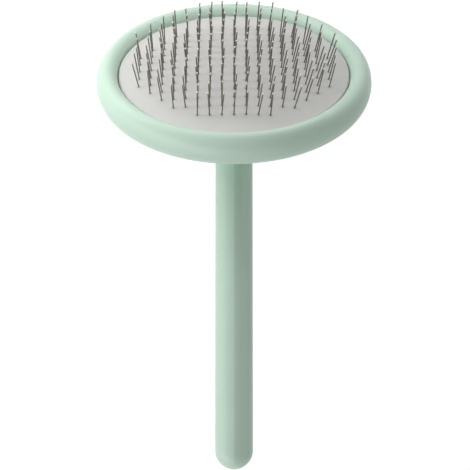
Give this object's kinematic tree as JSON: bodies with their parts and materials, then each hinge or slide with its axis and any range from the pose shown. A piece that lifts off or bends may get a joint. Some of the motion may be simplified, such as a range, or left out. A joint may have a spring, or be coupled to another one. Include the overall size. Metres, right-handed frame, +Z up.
{
  "type": "pet grooming brush",
  "caption": "Slicker-style grooming brush: an oval rim holds a domed rubber cushion of ball-tipped steel pins, on a straight round two-part handle that leaves the back at an angle.",
  "frame": {"origin": "middle of the brush's overall box, on the surface that it lies on", "axes": "+Z up, +Y from the handle's rounded end to the head, +X to the right; the brush lies with its pins up, on the rim's far edge and the handle's end"},
  "size_m": [0.1, 0.1762, 0.0593],
  "materials": {
    "mint_plastic": "satin moulded plastic, fine even grain",
    "white_rubber": "smooth matte rubber",
    "pin_steel": "drawn wire with polished ball tips",
    "zinc_steel": "zinc plated"
  },
  "bodies": {
    "root": {"rim_ring": "mint_plastic", "back_shell": "mint_plastic", "cushion": "white_rubber", "clamp_ring": "zinc_steel", "clamp_screws": "zinc_steel", "pins_row_01": "pin_steel", "pins_row_02": "pin_steel", "pins_row_03": "pin_steel", "pins_row_04": "pin_steel", "pins_row_05": "pin_steel", "pins_row_06": "pin_steel", "pins_row_07": "pin_steel", "pins_row_08": "pin_steel", "pins_row_09": "pin_steel", "pins_row_10": "pin_steel", "pins_row_11": "pin_steel", "pins_row_12": "pin_steel", "pins_row_13": "pin_steel", "handle_left": "mint_plastic", "handle_right": "mint_plastic", "core_tube": "zinc_steel", "tube_plug": "zinc_steel", "neck_screw": "zinc_steel"}
  },
  "joints": []
}
